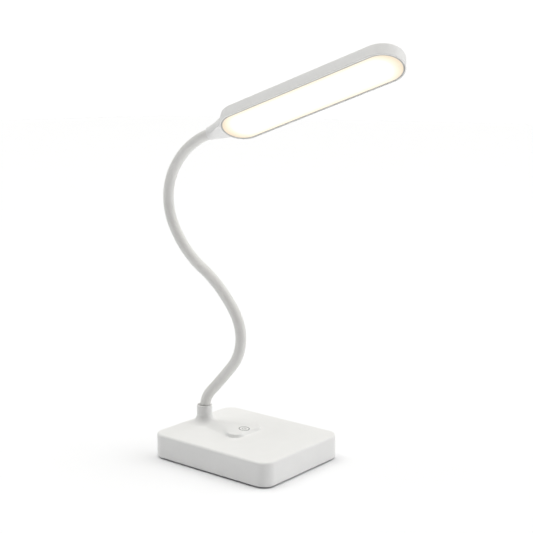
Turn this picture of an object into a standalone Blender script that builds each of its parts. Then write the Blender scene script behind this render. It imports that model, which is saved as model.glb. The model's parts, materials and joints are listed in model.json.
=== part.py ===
"""A rechargeable desk reading lamp: a rounded slab base, an S-bent gooseneck and a slim capsule head.

Frame: origin at the middle of the non-slip pad's underside, +Z up, +X from the collar towards the
front of the base, +Y across it. Values are in millimetres and degrees, and are turned into metres
where a mesh is made.
"""

import math

import bmesh
import bpy
import numpy as np
from mathutils import Euler, Matrix, Vector

MM = 0.001
GAP = 0.3            # between two pieces that touch
FIT = 0.4            # round a piece that slides into a hole

# Base
BASE_LENGTH = 140.0
BASE_WIDTH = 112.5
BASE_TOP = 24.0
BASE_CORNER = 12.8
BASE_EDGE = 2.2      # rounding of the top edge
SHELL_FOOT = 1.2     # height of the shell's lower edge above the table
SHELL_WALL = 2.2
PLATE_THICK = 2.0
PAD_THICK = 0.9
PAD_INSET = 5.0      # from the shell's outer edge

# Neck's outside, which the collar and the head's socket are fitted to
SLEEVE_RADIUS = 5.1

# Collar, and the raised tongue in front of it that holds the touch switch
COLLAR_FROM_BACK = 16.8    # its axis, from the base's back edge
COLLAR_X = COLLAR_FROM_BACK - BASE_LENGTH / 2
COLLAR_TOP = 41.8
COLLAR_ROOM = 1.3          # round the sleeve
COLLAR_WALL = 1.1
COLLAR_RADIUS = SLEEVE_RADIUS + COLLAR_ROOM + COLLAR_WALL
COLLAR_LIP = 0.5           # chamfer round its mouth
COLLAR_FLARE = 8.6   # radius of the hollow curve at its foot
COLLAR_SEAT = 4.8    # thickness of the floor that the neck is bolted to
TONGUE_LENGTH = 59.2       # from the collar's axis
TONGUE_FRONT = COLLAR_X + TONGUE_LENGTH
TONGUE_WIDTH = 45.0  # at its front, from where it narrows to the collar
TONGUE_BACK_WIDTH = 20.0
TONGUE_RISE = 3.0
TONGUE_CORNER = 11.0
TONGUE_EDGE = 1.0
RING_FROM_FRONT = 8.5
RING_X = TONGUE_FRONT - RING_FROM_FRONT
RING_RADIUS = 5.2
RING_LINE = 0.7
PRINT_THICK = 0.3
MARK_LENGTH = 2.6
MARK_WIDTH = 0.7

# Inside the base
BOSS_RADIUS = 3.6
BOSS_INSET = 11.5    # from the shell's outer faces to a boss's middle
POST_RADIUS = 3.0    # of the two posts under the board
POST_INSET = 4.0
SCREW_RADIUS = 1.2
SCREW_HEAD_RADIUS = 2.3
SCREW_HEAD_HEIGHT = 1.2
FOAM_THICK = 0.8
CELL_LENGTH = 50.0
CELL_WIDTH = 34.0
CELL_THICK = 8.0
BOARD_LENGTH = 33.0
BOARD_WIDTH = 44.0
BOARD_THICK = 1.6
BOARD_HEIGHT = 4.0   # over the bottom plate
BOARD_BACK_GAP = 0.5
CHIP = (5.0, 1.2)    # a side of its square, and its height
COIL = (6.0, 2.8)
PARTS_FORWARD = 8.0  # chip and coil, from the board's middle
PARTS_ASIDE = 12.0
WEIGHT_TO_BOARD = 9.3
WEIGHT_TO_FRONT = 11.0
WEIGHT_TO_BOSS = 1.15
WEIGHT_LENGTH = (BASE_LENGTH - SHELL_WALL - BOARD_BACK_GAP - BOARD_LENGTH
                 - WEIGHT_TO_BOARD - WEIGHT_TO_FRONT)
WEIGHT_WIDTH = BASE_WIDTH - 2 * (BOSS_INSET + BOSS_RADIUS + WEIGHT_TO_BOSS)
WEIGHT_THICK = 5.0
WEIGHT_X = BASE_LENGTH / 2 - WEIGHT_TO_FRONT - WEIGHT_LENGTH / 2
STUD_INSET = 8.0     # of the two screws in the weight, from its ends
USB_WIDTH = 9.0
USB_HEIGHT = 3.2
USB_DEPTH = 7.4
USB_WALL = 0.3
USB_SET_IN = 0.3
USB_BLADE = 0.7
ELECTRODE_RADIUS = 6.0
ELECTRODE_THICK = 0.4
LEAD_RADIUS = 0.6

# Neck: a silicone sleeve over an interlocked steel hose, with the lamp's cable in its bore
CORE_RADIUS = 3.1
CORE_BORE = 2.0
CABLE_RADIUS = 1.5
NECK_LENGTH = 335.2  # between the first joint and the last
LINKS = 6
BEND_LIMIT = 25.0    # each way at one joint
BEND_IN_GAP = 6.0    # the most that the neck's own curve turns between two links' ends
PIVOT_ABOVE_COLLAR = 2.0
PIVOT_BEFORE_SOCKET = 2.0
# Share of the neck's length, and its heading above the horizontal there
NECK_BENDS = ((0.0, 78.0), (0.045, 44.6), (0.167, 48.8), (0.333, 124.0),
              (0.5, 149.4), (0.667, 117.7), (0.833, 57.5), (1.0, 19.7))
NECK_YAW = ((0.0, 0.0), (0.667, 0.0), (0.833, -3.0), (1.0, 7.5))
STUB_LEAN_LENGTH = 9.5     # the last stretch in the collar, over which the neck starts to lean
NECK_SIDES = 12
STEPS_PER_LINK = 8

# Head
HEAD_ROLL = -33.1
HEAD_LENGTH = 188.6
HEAD_WIDTH = 40.7
HEAD_THICK = 12.2
HEAD_WALL = 1.2
HEAD_BACK_WALL = 1.6
HEAD_EDGE = 1.8
NECK_LINE = 7.0      # height of the neck's line over the light's face
SOCKET_LENGTH = 18.2 # from its mouth to the capsule's round end
SOCKET_WALL = 0.9
SOCKET_RADIUS = SLEEVE_RADIUS + FIT + SOCKET_WALL
SOCKET_FLARE = 6.0   # how far the socket's flare runs on past the capsule's round end
SOCKET_SPREAD = 9.0  # how much wider it is there, each way
SOCKET_DEPTH = 8.0   # that the sleeve enters
FERRULE_LENGTH = 10.5
DIFFUSER_SET_IN = 0.2
DIFFUSER_THICK = 1.6
TRAY_THICK = 0.6
TRAY_RIM = 2.8
LED_BOARD_LENGTH = 150.0
LED_BOARD_WIDTH = 12.0
LED_BOARD_THICK = 1.0
LED_COUNT = 12
LED_SIZE = 2.8
LED_HEIGHT = 0.7

# Brass ferrules crimped on the hose
FERRULE_RADIUS = 4.1
FLANGE_ROOM = 0.6    # round the flange in the collar's bore
FERRULE_FLANGE = SLEEVE_RADIUS + COLLAR_ROOM - FLANGE_ROOM
FLANGE_THICK = 1.6
NUT_RADIUS = 6.6
NUT_THICK = 3.5

WHITE_ABS = ("white_shell", (0.86, 0.86, 0.85), 0.45, 0.0)
SILICONE = ("white_silicone", (0.84, 0.84, 0.83), 0.6, 0.0)
GREY_RUBBER = ("grey_rubber", (0.10, 0.10, 0.105), 0.8, 0.0)
STEEL = ("zinc_steel", (0.62, 0.62, 0.63), 0.35, 1.0)
BRASS = ("brass", (0.72, 0.52, 0.25), 0.3, 1.0)
BOARD_GREEN = ("board_green", (0.05, 0.22, 0.11), 0.5, 0.0)
BOARD_WHITE = ("board_white", (0.88, 0.88, 0.86), 0.5, 0.0)
CELL_FILM = ("cell_film", (0.60, 0.61, 0.63), 0.35, 0.6)
FOAM = ("foam", (0.15, 0.15, 0.16), 0.95, 0.0)
CABLE_WHITE = ("cable_jacket", (0.80, 0.80, 0.79), 0.5, 0.0)
MILKY = ("milky_diffuser", (0.98, 0.95, 0.88), 0.5, 0.0)
PRINT_GREY = ("print_grey", (0.42, 0.43, 0.44), 0.6, 0.0)
COPPER = ("copper", (0.80, 0.45, 0.30), 0.35, 1.0)

materials = {}


def material(look):
    name, color, roughness, metallic = look
    if name not in materials:
        made = bpy.data.materials.new(name)
        made.use_nodes = True
        shader = made.node_tree.nodes["Principled BSDF"]
        shader.inputs["Base Color"].default_value = (*color, 1.0)
        shader.inputs["Roughness"].default_value = roughness
        shader.inputs["Metallic"].default_value = metallic
        materials[name] = made
    return materials[name]


def clear_scene():
    for obj in list(bpy.data.objects):
        bpy.data.objects.remove(obj, do_unlink=True)


def add_empty(name, parent, location, rotation=None):
    empty = bpy.data.objects.new(name, None)
    empty.empty_display_size = 0.01
    bpy.context.scene.collection.objects.link(empty)
    empty.parent = parent
    place = Matrix.Translation(Vector(location) * MM)
    if rotation is not None:
        place = place @ rotation.to_4x4()
    empty.matrix_local = place
    return empty


def add_object(name, bm, look, parent):
    """Makes the bmesh, which is in millimetres in its parent's own frame, an object there."""
    bmesh.ops.scale(bm, vec=(MM, MM, MM), verts=bm.verts)
    bmesh.ops.recalc_face_normals(bm, faces=bm.faces)
    mesh = bpy.data.meshes.new(name)
    bm.to_mesh(mesh)
    bm.free()
    mesh.shade_smooth()
    mesh.set_sharp_from_angle(angle=math.radians(35))
    mesh.materials.append(material(look))
    obj = bpy.data.objects.new(name, mesh)
    bpy.context.scene.collection.objects.link(obj)
    obj.parent = parent
    return obj


def arc(cx, cy, radius, start, end, steps):
    angles = np.radians(np.linspace(start, end, steps + 1))
    return [(cx + radius * math.cos(a), cy + radius * math.sin(a)) for a in angles]


def rounded_outline(length, width, radius, steps=6, cx=0.0, cy=0.0):
    """A rectangle with round corners, anticlockwise."""
    x, y = length / 2 - radius, width / 2 - radius
    points = []
    for sx, sy, start in ((1, -1, -90), (1, 1, 0), (-1, 1, 90), (-1, -1, 180)):
        points += arc(cx + sx * x, cy + sy * y, radius, start, start + 90, steps)
    return points


def capsule_outline(length, width, steps=14, cx=0.0):
    """A rectangle whose two ends are half circles, anticlockwise."""
    radius = width / 2
    middle = length / 2 - radius
    return (arc(cx + middle, 0, radius, -90, 90, steps)
            + arc(cx - middle, 0, radius, 90, 270, steps))


def ring_of(bm, points):
    return [bm.verts.new(p) for p in points]


def stacked(rings):
    """A closed solid through rings of equally many points, from the first ring to the last."""
    bm = bmesh.new()
    loops = [ring_of(bm, ring) for ring in rings]
    for low, high in zip(loops, loops[1:]):
        for i, corner in enumerate(low):
            after = (i + 1) % len(low)
            bm.faces.new((corner, low[after], high[after], high[i]))
    bm.faces.new(list(reversed(loops[0])))
    bm.faces.new(loops[-1])
    return bm


def slab(outline, bottom, top):
    return stacked([[(x, y, z) for x, y in outline] for z in (bottom, top)])


def edged_slab(outline_at, bottom, top, edge, steps=4):
    """A slab whose top edge is rounded. outline_at gives the outline drawn in by a distance."""
    rings = [[(x, y, bottom) for x, y in outline_at(0.0)]]
    for a in np.radians(np.linspace(0, 90, steps + 1)):
        inset, z = edge * (1 - math.cos(a)), top - edge * (1 - math.sin(a))
        rings.append([(x, y, z) for x, y in outline_at(inset)])
    return stacked(rings)


def disc(radius, bottom, top, x=0.0, y=0.0, sides=16):
    return slab(arc(x, y, radius, 0, 360, sides)[:-1], bottom, top)


def turned(profile, x=0.0, y=0.0, sides=20):
    """A solid of revolution about an upright axis, through (radius, height) pairs going up."""
    return stacked([[(px, py, z) for px, py in arc(x, y, r, 0, 360, sides)[:-1]]
                    for r, z in profile])


def along_x(bm):
    """Lays a shape that was made upright along +X."""
    bmesh.ops.rotate(bm, cent=(0, 0, 0), matrix=Matrix.Rotation(math.pi / 2, 3, "Y"), verts=bm.verts)
    return bm


def boolean(target, tool_mesh, operation):
    """Joins or cuts with a bmesh given in millimetres in the target's own frame."""
    name = f"{target.name}_tool_{len(target.modifiers)}"
    tool = add_object(name, tool_mesh, WHITE_ABS, target.parent)
    tool.hide_render = True
    tool.display_type = "WIRE"
    modifier = target.modifiers.new(name, "BOOLEAN")
    modifier.object = tool
    modifier.operation = operation
    modifier.solver = "EXACT"


def join(target, tool_mesh):
    boolean(target, tool_mesh, "UNION")


def cut(target, tool_mesh):
    boolean(target, tool_mesh, "DIFFERENCE")


def tube(points, radius, bore=None, sides=NECK_SIDES):
    """A tube of round section along points, or a solid rod where there is no bore."""
    points = np.asarray(points, float)
    ways = np.gradient(points, axis=0)
    ways /= np.linalg.norm(ways, axis=1)[:, None]
    side = np.cross(ways[0], (0.0, 1.0, 0.0))
    if np.linalg.norm(side) < 0.1:
        side = np.cross(ways[0], (1.0, 0.0, 0.0))
    turns = np.radians(np.arange(sides) * 360 / sides)
    bm = bmesh.new()
    outer, inner = [], []
    for point, way in zip(points, ways):
        side = side - way * (side @ way)
        side /= np.linalg.norm(side)
        other = np.cross(way, side)
        spokes = [math.cos(t) * side + math.sin(t) * other for t in turns]
        outer.append(ring_of(bm, [point + radius * s for s in spokes]))
        if bore:
            inner.append(ring_of(bm, [point + bore * s for s in spokes]))
    for loops in (outer, inner):
        for low, high in zip(loops, loops[1:]):
            for i in range(sides):
                j = (i + 1) % sides
                bm.faces.new((low[i], low[j], high[j], high[i]))
    if not bore:
        bm.faces.new(outer[0])
        bm.faces.new(outer[-1])
        return bm
    for out_loop, in_loop in ((outer[0], inner[0]), (outer[-1], inner[-1])):
        for i in range(sides):
            j = (i + 1) % sides
            bm.faces.new((out_loop[i], out_loop[j], in_loop[j], in_loop[i]))
    return bm


# The neck's line

END_GAP = 2 * SLEEVE_RADIUS * math.tan(math.radians((BEND_LIMIT + BEND_IN_GAP) / 2)) + GAP
FINE = 960


def neck_way(share):
    """The neck's direction at a share of its length."""
    heading = np.radians(np.interp(share, *zip(*NECK_BENDS)))
    yaw = np.radians(np.interp(share, *zip(*NECK_YAW)))
    level = np.cos(heading)
    return np.stack([level * np.cos(yaw), level * np.sin(yaw), np.sin(heading)], -1)


def base_lean():
    """The neck's leaning stretch in the collar, from its upright foot at the origin to link 1's pivot."""
    way = neck_way(0.0)
    turn = math.atan2(way[0], way[2]) * np.linspace(0, 1, 5)
    steps = np.stack([np.sin(turn), 0 * turn, np.cos(turn)], -1)
    means = (steps[1:] + steps[:-1]) / 2 * STUB_LEAN_LENGTH / (len(turn) - 1)
    points = np.concatenate([np.zeros((1, 3)), np.cumsum(means, axis=0)])
    return points, points[-1] + way * END_GAP / 2


BASE_LEAN, LEAN_TO_PIVOT = base_lean()
FIRST_PIVOT = np.array([COLLAR_X + LEAN_TO_PIVOT[0], 0.0, COLLAR_TOP + PIVOT_ABOVE_COLLAR])
middles = (np.arange(FINE) + 0.5) / FINE
NECK_LINE_POINTS = FIRST_PIVOT + np.concatenate(
    [np.zeros((1, 3)), np.cumsum(neck_way(middles) * NECK_LENGTH / FINE, axis=0)])
LINE_SHARES = np.linspace(0, 1, FINE + 1)


def neck_point(share):
    return np.stack([np.interp(share, LINE_SHARES, NECK_LINE_POINTS[:, i]) for i in range(3)], -1)


def pivot(number):
    """Joint number 0 is just over the collar, and number LINKS is just before the head's socket."""
    return neck_point(number / LINKS)


# Base

def build_base(root):
    plate_bottom = SHELL_FOOT
    plate_top = plate_bottom + PLATE_THICK
    inner_top = BASE_TOP - SHELL_WALL
    inner_length = BASE_LENGTH - 2 * SHELL_WALL
    inner_width = BASE_WIDTH - 2 * SHELL_WALL
    inner_corner = BASE_CORNER - SHELL_WALL
    boss_bottom = plate_top + GAP
    bosses = [(sx * (BASE_LENGTH / 2 - BOSS_INSET), sy * (BASE_WIDTH / 2 - BOSS_INSET))
              for sx in (-1, 1) for sy in (-1, 1)]
    board_bottom = plate_top + BOARD_HEIGHT
    board_top = board_bottom + BOARD_THICK
    board_x = -inner_length / 2 + BOARD_BACK_GAP + BOARD_LENGTH / 2
    usb_bottom = board_top + GAP
    usb_middle = usb_bottom + USB_HEIGHT / 2
    hole = SCREW_RADIUS + GAP

    def shell_outline(inset):
        return rounded_outline(BASE_LENGTH - 2 * inset, BASE_WIDTH - 2 * inset, BASE_CORNER - inset)

    shell = add_object("base_shell", edged_slab(shell_outline, SHELL_FOOT, BASE_TOP, BASE_EDGE),
                       WHITE_ABS, root)

    def tongue_outline(inset):
        """The collar's middle, and the two round corners at the tongue's front."""
        half_back, half_front = TONGUE_BACK_WIDTH / 2 - inset, TONGUE_WIDTH / 2 - inset
        radius = TONGUE_CORNER - inset
        splay = math.degrees(math.atan2(half_front - half_back, TONGUE_FRONT - COLLAR_X))
        corner_x, corner_y = TONGUE_FRONT - TONGUE_CORNER, half_front - radius
        return (arc(corner_x, -corner_y, radius, -90 - splay, 0, 7)
                + arc(corner_x, corner_y, radius, 0, 90 + splay, 7)
                + [(COLLAR_X, half_back), (COLLAR_X, -half_back)])

    join(shell, edged_slab(tongue_outline, BASE_TOP - SHELL_WALL / 2, BASE_TOP + TONGUE_RISE,
                            TONGUE_EDGE, 2))
    flare = [(COLLAR_RADIUS + COLLAR_FLARE * (1 - math.cos(a)), BASE_TOP + COLLAR_FLARE * (1 - math.sin(a)))
             for a in np.radians(np.linspace(90, 0, 7))]
    flare_foot = (flare[0][0], BASE_TOP - SHELL_WALL / 2)
    collar = [flare_foot, *flare, (COLLAR_RADIUS, COLLAR_TOP - COLLAR_LIP),
              (COLLAR_RADIUS - COLLAR_LIP, COLLAR_TOP)]
    join(shell, turned(collar, COLLAR_X, sides=28))
    cut(shell, slab(rounded_outline(inner_length, inner_width, inner_corner),
                    SHELL_FOOT - 5, inner_top))
    seat_top = BASE_TOP - GAP
    seat_bottom = seat_top - COLLAR_SEAT
    join(shell, disc(NUT_RADIUS + 2.5, seat_bottom, seat_top, COLLAR_X, sides=20))
    cut(shell, disc(COLLAR_RADIUS - COLLAR_WALL, seat_top, COLLAR_TOP + 5, COLLAR_X, sides=20))
    cut(shell, disc(FERRULE_RADIUS + GAP, seat_bottom - 2, seat_top + 2, COLLAR_X))
    for x, y in bosses:
        join(shell, disc(BOSS_RADIUS, boss_bottom, inner_top + SHELL_WALL / 2, x, y))
        cut(shell, disc(hole, boss_bottom - 2, boss_bottom + 9, x, y, sides=10))
    slot = rounded_outline(USB_HEIGHT + 2 * FIT, USB_WIDTH + 2 * FIT, USB_HEIGHT / 2, steps=4)
    port = along_x(slab(slot, -4, 4))
    bmesh.ops.translate(port, verts=port.verts, vec=(-BASE_LENGTH / 2, 0, usb_middle))
    cut(shell, port)

    plate = add_object(
        "base_plate",
        slab(rounded_outline(inner_length - 2 * GAP, inner_width - 2 * GAP, inner_corner - GAP),
             plate_bottom, plate_top), WHITE_ABS, root)
    for x, y in bosses:
        cut(plate, disc(hole, plate_bottom - 2, plate_top + 2, x, y, sides=10))
        cut(plate, disc(SCREW_HEAD_RADIUS + GAP, plate_bottom - 2,
                        plate_bottom + SCREW_HEAD_HEIGHT, x, y, sides=12))
    posts = [(board_x, s * (BOARD_WIDTH / 2 - POST_INSET)) for s in (-1, 1)]
    for x, y in posts:
        join(plate, disc(POST_RADIUS, plate_top - 0.8, board_bottom - GAP, x, y, sides=12))
        cut(plate, disc(hole, plate_top - 0.4, board_bottom + 2, x, y, sides=10))
    studs = [(WEIGHT_X + s * (WEIGHT_LENGTH / 2 - STUD_INSET), 0) for s in (-1, 1)]
    for x, y in studs:
        cut(plate, disc(hole, plate_bottom - 2, plate_top + 2, x, y, sides=10))

    pad = rounded_outline(BASE_LENGTH - 2 * PAD_INSET, BASE_WIDTH - 2 * PAD_INSET,
                          BASE_CORNER - PAD_INSET)
    add_object("base_pad", slab(pad, 0, PAD_THICK), GREY_RUBBER, root)

    def screw(name, x, y, head_bottom, reach, upward):
        """A pan-head screw whose shank leaves the head upwards or downwards."""
        head_top = head_bottom + SCREW_HEAD_HEIGHT
        shank = (head_top - 0.3, head_top + reach) if upward else (head_bottom - reach, head_bottom + 0.3)
        made = add_object(name, disc(SCREW_HEAD_RADIUS, head_bottom, head_top, x, y, 12), STEEL, root)
        join(made, disc(SCREW_RADIUS, *shank, x, y, 8))

    for number, (x, y) in enumerate(bosses, 1):
        screw(f"base_screw_{number}", x, y, plate_bottom - GAP, 8.0, True)

    weight_bottom = plate_top + GAP
    weight_top = weight_bottom + WEIGHT_THICK
    weight = add_object(
        "counterweight",
        slab(rounded_outline(WEIGHT_LENGTH, WEIGHT_WIDTH, 4, 2, WEIGHT_X), weight_bottom, weight_top),
        STEEL, root)
    for number, (x, y) in enumerate(studs, 1):
        cut(weight, disc(hole, weight_bottom - 2, weight_top + 2, x, y, sides=10))
        screw(f"weight_screw_{number}", x, y, weight_top + GAP, WEIGHT_THICK + PLATE_THICK, False)

    foam_bottom = weight_top + GAP
    foam_top = foam_bottom + FOAM_THICK
    add_object("battery_foam_pad", slab(rounded_outline(CELL_LENGTH, CELL_WIDTH, 2, 2, WEIGHT_X),
                                        foam_bottom, foam_top), FOAM, root)
    cell_bottom = foam_top + GAP
    cell_top = cell_bottom + CELL_THICK

    def cell_outline(inset):
        return rounded_outline(CELL_LENGTH - 2 * inset, CELL_WIDTH - 2 * inset, 3 - inset, 3, WEIGHT_X)

    add_object("battery_cell", edged_slab(cell_outline, cell_bottom, cell_top, 1.0, 2), CELL_FILM, root)

    board = add_object("main_board", slab(rounded_outline(BOARD_LENGTH, BOARD_WIDTH, 1, 1, board_x),
                                          board_bottom, board_top), BOARD_GREEN, root)
    for (side, height), y in ((CHIP, PARTS_ASIDE), (COIL, -PARTS_ASIDE)):
        outline = rounded_outline(side, side, side / 8, 2, board_x + PARTS_FORWARD, y)
        join(board, slab(outline, board_top - 0.4, board_top + height))
    for number, (x, y) in enumerate(posts, 1):
        cut(board, disc(hole, board_bottom - 2, board_top + 2, x, y, sides=10))
        screw(f"board_screw_{number}", x, y, board_top + GAP, BOARD_THICK + BOARD_HEIGHT - 0.6, False)

    socket_start = -BASE_LENGTH / 2 + USB_SET_IN
    body = rounded_outline(USB_HEIGHT, USB_WIDTH, USB_HEIGHT / 2 - 0.1, 4)
    usb_mesh = along_x(slab(body, 0, USB_DEPTH))
    bmesh.ops.translate(usb_mesh, verts=usb_mesh.verts, vec=(socket_start, 0, usb_middle))
    usb = add_object("usb_c_socket", usb_mesh, STEEL, root)
    mouth = along_x(slab(rounded_outline(USB_HEIGHT - 2 * USB_WALL, USB_WIDTH - 2 * USB_WALL,
                                         USB_HEIGHT / 2 - USB_WALL - 0.1, 4), -2, USB_DEPTH - 1))
    bmesh.ops.translate(mouth, verts=mouth.verts, vec=(socket_start, 0, usb_middle))
    cut(usb, mouth)
    blade = along_x(slab(rounded_outline(USB_BLADE, USB_WIDTH - 2.4, 0.2, 1), 1, USB_DEPTH - 0.5))
    bmesh.ops.translate(blade, verts=blade.verts, vec=(socket_start, 0, usb_middle))
    join(usb, blade)

    tongue_top = BASE_TOP + TONGUE_RISE
    electrode_top = inner_top - GAP
    add_object("touch_electrode", disc(ELECTRODE_RADIUS, electrode_top - ELECTRODE_THICK,
                                       electrode_top, RING_X), COPPER, root)
    print_bottom = tongue_top + GAP
    ring = add_object("touch_ring", disc(RING_RADIUS, print_bottom, print_bottom + PRINT_THICK,
                                         RING_X, sides=28), PRINT_GREY, root)
    cut(ring, disc(RING_RADIUS - RING_LINE, print_bottom - 1, print_bottom + 1, RING_X, sides=28))
    mark = rounded_outline(MARK_LENGTH, MARK_WIDTH, 0.3, 2, RING_X)
    add_object("touch_mark", slab(mark, print_bottom, print_bottom + PRINT_THICK), PRINT_GREY, root)
    lead_start = (RING_X - 3, 0, electrode_top - ELECTRODE_THICK - LEAD_RADIUS - GAP)
    lead_end = (board_x + BOARD_LENGTH / 2 - 4, 3, board_top + LEAD_RADIUS + GAP)
    drop = (lead_start[0] - 18, 1.5, lead_start[2] - 0.6)
    add_object("touch_lead", tube([lead_start, drop, lead_end], LEAD_RADIUS, sides=8), CABLE_WHITE, root)
    cell_back = WEIGHT_X - CELL_LENGTH / 2 - GAP
    battery_start = (cell_back, -8, cell_bottom + CELL_THICK / 2)
    battery_end = (board_x + BOARD_LENGTH / 2 - 3, -6, board_top + LEAD_RADIUS + GAP)
    add_object("battery_lead", tube([battery_start, battery_end], LEAD_RADIUS, sides=8),
               CABLE_WHITE, root)

    nut_top = seat_bottom - GAP
    nut_bottom = nut_top - NUT_THICK
    ferrule_bottom = nut_bottom - 1.5
    flange_bottom = seat_top + GAP
    ferrule = add_object("base_ferrule", turned(
        [(FERRULE_RADIUS, ferrule_bottom), (FERRULE_RADIUS, flange_bottom),
         (FERRULE_FLANGE, flange_bottom), (FERRULE_FLANGE, flange_bottom + FLANGE_THICK)],
        COLLAR_X, sides=16), BRASS, root)
    bore = CORE_RADIUS + GAP
    cut(ferrule, disc(bore, ferrule_bottom - 2, flange_bottom + FLANGE_THICK + 2, COLLAR_X, sides=12))
    nut = add_object("ferrule_nut", disc(NUT_RADIUS, nut_bottom, nut_top, COLLAR_X, sides=6),
                     BRASS, root)
    cut(nut, disc(FERRULE_RADIUS + GAP, nut_bottom - 2, nut_top + 2, COLLAR_X))

    sleeve_bottom = flange_bottom + FLANGE_THICK + GAP
    add_neck_stretch("root", root, base_line(sleeve_bottom), base_line(ferrule_bottom + 0.5),
                     base_line(board_top + 1.0))


def base_line(bottom):
    """The neck's line inside the collar: upright, and leaning forward over its last stretch."""
    leaning = BASE_LEAN + FIRST_PIVOT - LEAN_TO_PIVOT
    return np.concatenate([[[COLLAR_X, 0.0, bottom]], leaning])


def add_neck_stretch(name, parent, sleeve_line, core_line, cable_line):
    add_object(f"neck_sleeve_{name}", tube(sleeve_line, SLEEVE_RADIUS, CORE_RADIUS + GAP),
               SILICONE, parent)
    add_object(f"neck_core_{name}", tube(core_line, CORE_RADIUS, CORE_BORE, 10), STEEL, parent)
    add_object(f"lamp_cable_{name}", tube(cable_line, CABLE_RADIUS, sides=8), CABLE_WHITE, parent)


def build_neck(root):
    """A chain of links. Each hangs from an empty at the joint below it. Returns the last pivot's empty."""
    parent, last = root, np.zeros(3)
    margin = END_GAP / 2 / NECK_LENGTH
    for number in range(LINKS):
        here = pivot(number)
        parent = add_empty(f"neck_joint_{number + 1}", parent, here - last)
        last = here
        shares = np.linspace(number / LINKS + margin, (number + 1) / LINKS - margin, STEPS_PER_LINK + 1)
        line = neck_point(shares) - here
        add_neck_stretch(str(number + 1), parent, line, line, line)
    here = pivot(LINKS)
    heading, yaw = NECK_BENDS[-1][1], NECK_YAW[-1][1]
    turn = Euler([math.radians(a) for a in (HEAD_ROLL, -heading, yaw)], "XYZ").to_matrix()
    return add_empty(f"neck_joint_{LINKS + 1}", parent, here - last, turn)


# Head, in its own frame: x runs from the last pivot to the tip, and the light's face looks to -z

def build_head(joint):
    face = -NECK_LINE
    back = face + HEAD_THICK
    mouth = PIVOT_BEFORE_SOCKET
    middle = mouth + SOCKET_LENGTH + HEAD_LENGTH / 2
    inner_back = back - HEAD_BACK_WALL

    def outline(inset):
        return capsule_outline(HEAD_LENGTH - 2 * inset, HEAD_WIDTH - 2 * inset, cx=middle)

    housing = add_object("head_housing", edged_slab(outline, face, back, HEAD_EDGE, 3), WHITE_ABS, joint)
    cut(housing, slab(outline(HEAD_WALL), face - 5, inner_back))

    flare_end = mouth + SOCKET_LENGTH + SOCKET_FLARE
    low, high = face + 0.35, back - 0.35
    rings = []
    for t in np.linspace(0, 1, 7):
        x = mouth + t * (flare_end - mouth)
        spread = t * t * (3 - 2 * t)
        wide = SOCKET_RADIUS + spread * SOCKET_SPREAD
        top = SOCKET_RADIUS + spread * (high - SOCKET_RADIUS)
        bottom = -SOCKET_RADIUS + spread * (low + SOCKET_RADIUS)
        centre, half = (top + bottom) / 2, (top - bottom) / 2
        rings.append([(x, wide * math.cos(a), centre + half * math.sin(a))
                      for a in np.radians(np.arange(20) * 18)])
    join(housing, stacked(rings))
    tray_bottom = face + DIFFUSER_SET_IN + DIFFUSER_THICK + GAP
    tray_back = tray_bottom + TRAY_RIM
    ferrule_start = mouth + SOCKET_DEPTH + GAP
    ferrule_end = ferrule_start + FERRULE_LENGTH
    cut(housing, along_x(disc(SLEEVE_RADIUS + FIT, mouth - 3, mouth + SOCKET_DEPTH)))
    cut(housing, along_x(disc(FERRULE_RADIUS + GAP, mouth + SOCKET_DEPTH - 2, ferrule_end + GAP)))
    cut(housing, along_x(disc(CABLE_RADIUS + FIT, ferrule_end - 2, flare_end + 4, sides=12)))
    cut(housing, slab(outline(HEAD_WALL), face - 5, tray_back + GAP))

    add_object("diffuser", slab(outline(HEAD_WALL + GAP), face + DIFFUSER_SET_IN,
                                face + DIFFUSER_SET_IN + DIFFUSER_THICK), MILKY, joint)
    tray = add_object("reflector_tray", slab(outline(HEAD_WALL + GAP), tray_bottom, tray_back),
                      BOARD_WHITE, joint)
    cut(tray, slab(outline(HEAD_WALL + GAP + TRAY_THICK), tray_bottom - 3, tray_back - TRAY_THICK))
    led_top = tray_back - TRAY_THICK - GAP
    led_board = add_object("led_board", slab(
        rounded_outline(LED_BOARD_LENGTH, LED_BOARD_WIDTH, 1, 1, middle), led_top - LED_BOARD_THICK,
        led_top), BOARD_WHITE, joint)
    pitch = LED_BOARD_LENGTH / LED_COUNT
    for number in range(LED_COUNT):
        x = middle + (number - (LED_COUNT - 1) / 2) * pitch
        join(led_board, slab(rounded_outline(LED_SIZE, LED_SIZE, 0.3, 1, x),
                             led_top - LED_BOARD_THICK - LED_HEIGHT, led_top - LED_BOARD_THICK + 0.4))

    ferrule = add_object("head_ferrule", along_x(disc(FERRULE_RADIUS, ferrule_start, ferrule_end)),
                         BRASS, joint)
    cut(ferrule, along_x(disc(CORE_RADIUS + GAP, ferrule_start - 2, ferrule_end + 2, sides=12)))

    start = END_GAP / 2

    def line(end):
        return [(start, 0, 0), ((start + end) / 2, 0, 0), (end, 0, 0)]

    add_neck_stretch("tip", joint, line(ferrule_start - GAP), line(ferrule_end - 1), line(flare_end))


clear_scene()
base_root = add_empty("lamp_base", None, (0, 0, 0))
build_base(base_root)
build_head(build_neck(base_root))
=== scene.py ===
"""A rechargeable desk reading lamp with an S-bent gooseneck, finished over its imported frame.

Sizes are in millimetres and degrees where they are named, and turn into metres where a mesh is made.
"""

import json
import math

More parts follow.
